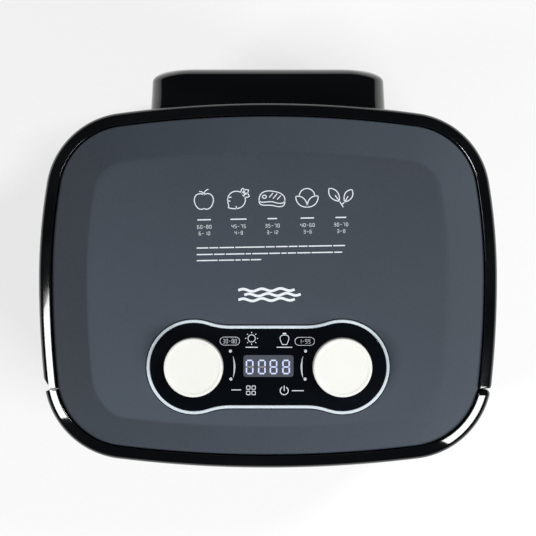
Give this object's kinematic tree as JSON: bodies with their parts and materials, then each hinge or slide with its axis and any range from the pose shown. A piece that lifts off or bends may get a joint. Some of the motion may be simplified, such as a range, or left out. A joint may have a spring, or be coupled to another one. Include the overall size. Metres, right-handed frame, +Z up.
{
  "type": "food dehydrator",
  "caption": "Cabinet food dehydrator with a rear fan, a wrap-round windowed door, sliding wire trays, and a top panel with knobs and a display.",
  "frame": {"origin": "middle of the footprint, on the surface that the feet stand on", "axes": "+Z up, +Y towards the rear housing, +X to the right of a person facing the door"},
  "size_m": [0.344, 0.3026, 0.288],
  "materials": {
    "gloss_black": "polished black moulded plastic",
    "anthracite_plastic": "dark blue-grey moulded plastic with a fine spark-eroded texture",
    "silver_trim": "satin silver plated trim",
    "white_plastic": "soft gloss white plastic",
    "display_glass": "dark display window with cool white digits",
    "smoked_window": "smoked clear plastic",
    "rubber": "matt black rubber",
    "matte_black_plastic": "fine textured black plastic",
    "circuit_board": "green solder resist",
    "brass": "plain turned brass",
    "tray_wire": "polished stainless wire",
    "magnet_steel": "nickel plated",
    "fan_aluminium": "plain pressed sheet",
    "sheet_steel": "plain rolled sheet"
  },
  "bodies": {
    "cabinet": {"outer_shell": "gloss_black", "catch_magnet": "magnet_steel", "base_pan": "matte_black_plastic", "chamber_floor": "matte_black_plastic", "foot_front_left": "rubber", "foot_front_right": "rubber", "foot_rear_left": "rubber", "foot_rear_right": "rubber", "top_cover": "anthracite_plastic", "chamber_ceiling": "matte_black_plastic", "rear_housing": "gloss_black", "rear_vent_grille": "matte_black_plastic", "cord_gland": "rubber", "heat_shield": "sheet_steel", "motor_bracket": "sheet_steel", "motor_bearing": "brass", "motor_body": "sheet_steel", "heater_element": "sheet_steel", "heater_clip_left": "sheet_steel", "heater_clip_right": "sheet_steel", "thermal_cutout": "brass", "temperature_probe": "sheet_steel", "side_rack_left": "matte_black_plastic", "side_rack_right": "matte_black_plastic", "rear_baffle": "sheet_steel", "hinge_lug_lower": "sheet_steel", "hinge_pin_lower": "sheet_steel", "hinge_lug_upper": "sheet_steel", "hinge_pin_upper": "sheet_steel", "control_bezel": "silver_trim", "control_lens": "gloss_black", "display_module": "display_glass", "control_board": "circuit_board", "sounder": "matte_black_plastic", "mode_touch_spring": "sheet_steel", "power_touch_spring": "sheet_steel", "temperature_encoder": "sheet_steel", "timer_encoder": "sheet_steel", "power_board": "circuit_board"},
    "door": {"door_frame": "gloss_black", "door_window": "smoked_window", "window_gasket": "rubber", "catch_plate": "magnet_steel"},
    "fan": {"fan_impeller": "fan_aluminium", "motor_shaft": "sheet_steel"},
    "temperature_control": {"temperature_knob": "white_plastic", "temperature_shaft": "sheet_steel"},
    "timer_control": {"timer_knob": "white_plastic", "timer_shaft": "sheet_steel"},
    "tray_1_body": {"tray_1": "tray_wire"},
    "tray_2_body": {"tray_2": "tray_wire"},
    "tray_3_body": {"tray_3": "tray_wire"},
    "tray_4_body": {"tray_4": "tray_wire"},
    "tray_5_body": {"tray_5": "tray_wire"},
    "drip_tray_body": {"drip_tray": "sheet_steel"}
  },
  "joints": [
    {"name": "door_hinge", "type": "hinge", "parent": "cabinet", "child": "door", "pos_m": [0.16141, -0.09675, 0.141], "axis": [0, 0, 1], "range_deg": [0, 100]},
    {"name": "fan_spin", "type": "hinge", "parent": "cabinet", "child": "fan", "pos_m": [0, 0.1, 0.132], "axis": [0, -1, 0], "continuous": true},
    {"name": "temperature_turn", "type": "hinge", "parent": "cabinet", "child": "temperature_control", "pos_m": [-0.0553, -0.0751, 0.27], "axis": [0, 0, -1], "continuous": true},
    {"name": "timer_turn", "type": "hinge", "parent": "cabinet", "child": "timer_control", "pos_m": [0.0553, -0.0751, 0.27], "axis": [0, 0, -1], "continuous": true},
    {"name": "tray_1_slide", "type": "slide", "parent": "cabinet", "child": "tray_1_body", "axis": [0, -1, 0], "range_m": [0, 0.1311]},
    {"name": "tray_2_slide", "type": "slide", "parent": "cabinet", "child": "tray_2_body", "axis": [0, -1, 0], "range_m": [0, 0.1311]},
    {"name": "tray_3_slide", "type": "slide", "parent": "cabinet", "child": "tray_3_body", "axis": [0, -1, 0], "range_m": [0, 0.1311]},
    {"name": "tray_4_slide", "type": "slide", "parent": "cabinet", "child": "tray_4_body", "axis": [0, -1, 0], "range_m": [0, 0.1311]},
    {"name": "tray_5_slide", "type": "slide", "parent": "cabinet", "child": "tray_5_body", "axis": [0, -1, 0], "range_m": [0, 0.1311]},
    {"name": "drip_tray_slide", "type": "slide", "parent": "cabinet", "child": "drip_tray_body", "axis": [0, -1, 0], "range_m": [0, 0.1311]}
  ],
  "couplings": [
    {"joint": "tray_1_slide", "follows": "door_hinge", "m_per_rad": 0.075},
    {"joint": "tray_2_slide", "follows": "door_hinge", "m_per_rad": 0.075},
    {"joint": "tray_3_slide", "follows": "door_hinge", "m_per_rad": 0.075},
    {"joint": "tray_4_slide", "follows": "door_hinge", "m_per_rad": 0.075},
    {"joint": "tray_5_slide", "follows": "door_hinge", "m_per_rad": 0.075},
    {"joint": "drip_tray_slide", "follows": "door_hinge", "m_per_rad": 0.075}
  ]
}
